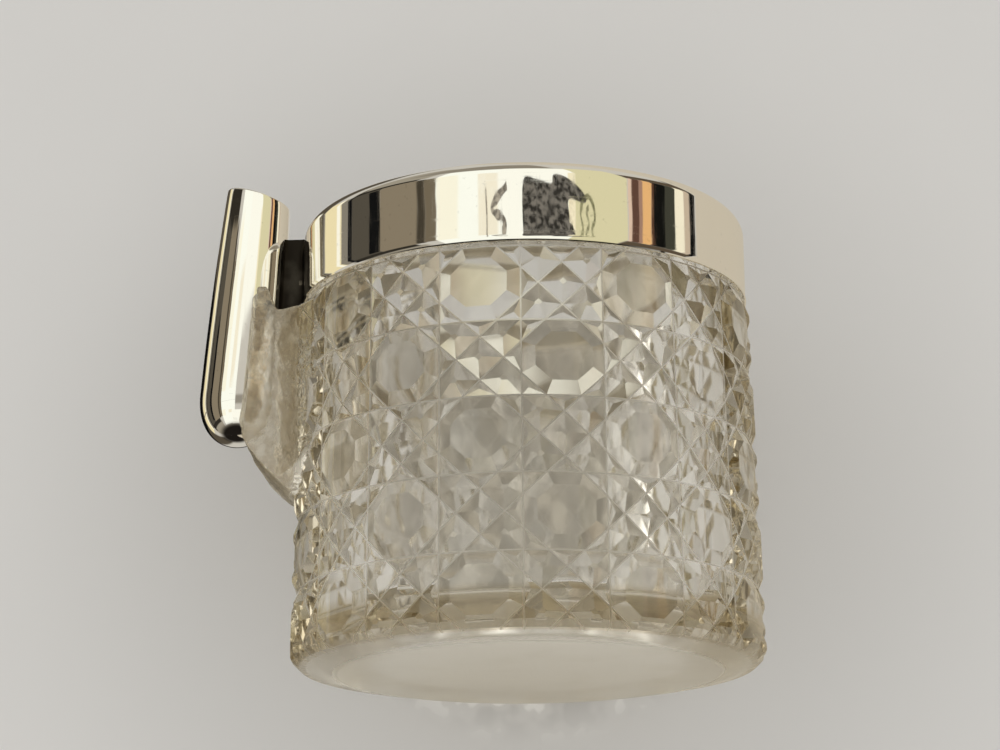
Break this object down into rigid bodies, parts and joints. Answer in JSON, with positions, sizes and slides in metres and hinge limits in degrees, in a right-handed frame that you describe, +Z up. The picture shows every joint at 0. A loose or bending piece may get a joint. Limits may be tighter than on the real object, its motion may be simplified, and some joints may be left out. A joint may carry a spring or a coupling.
{
  "type": "match striker pot",
  "caption": "Round cut-glass match pot with a flat base, a wide silver collar round its mouth and a slender silver side tube carried on a glass boss.",
  "frame": {"origin": "centre of the flat base that the pot stands on", "axes": "+Z up along the pot's axis, -X toward the side tube, -Y toward the side that the picture shows"},
  "size_m": [0.0726, 0.0602, 0.0654],
  "materials": {
    "glass": "gloss",
    "silver": "polished",
    "plaster": "matte"
  },
  "bodies": {
    "root": {"glass_body": "glass", "collar_band": "silver", "collar_sleeve": "silver", "collar_cement": "plaster", "bridge_strap": "silver", "side_tube": "silver", "side_tube_cap": "silver"}
  },
  "joints": []
}
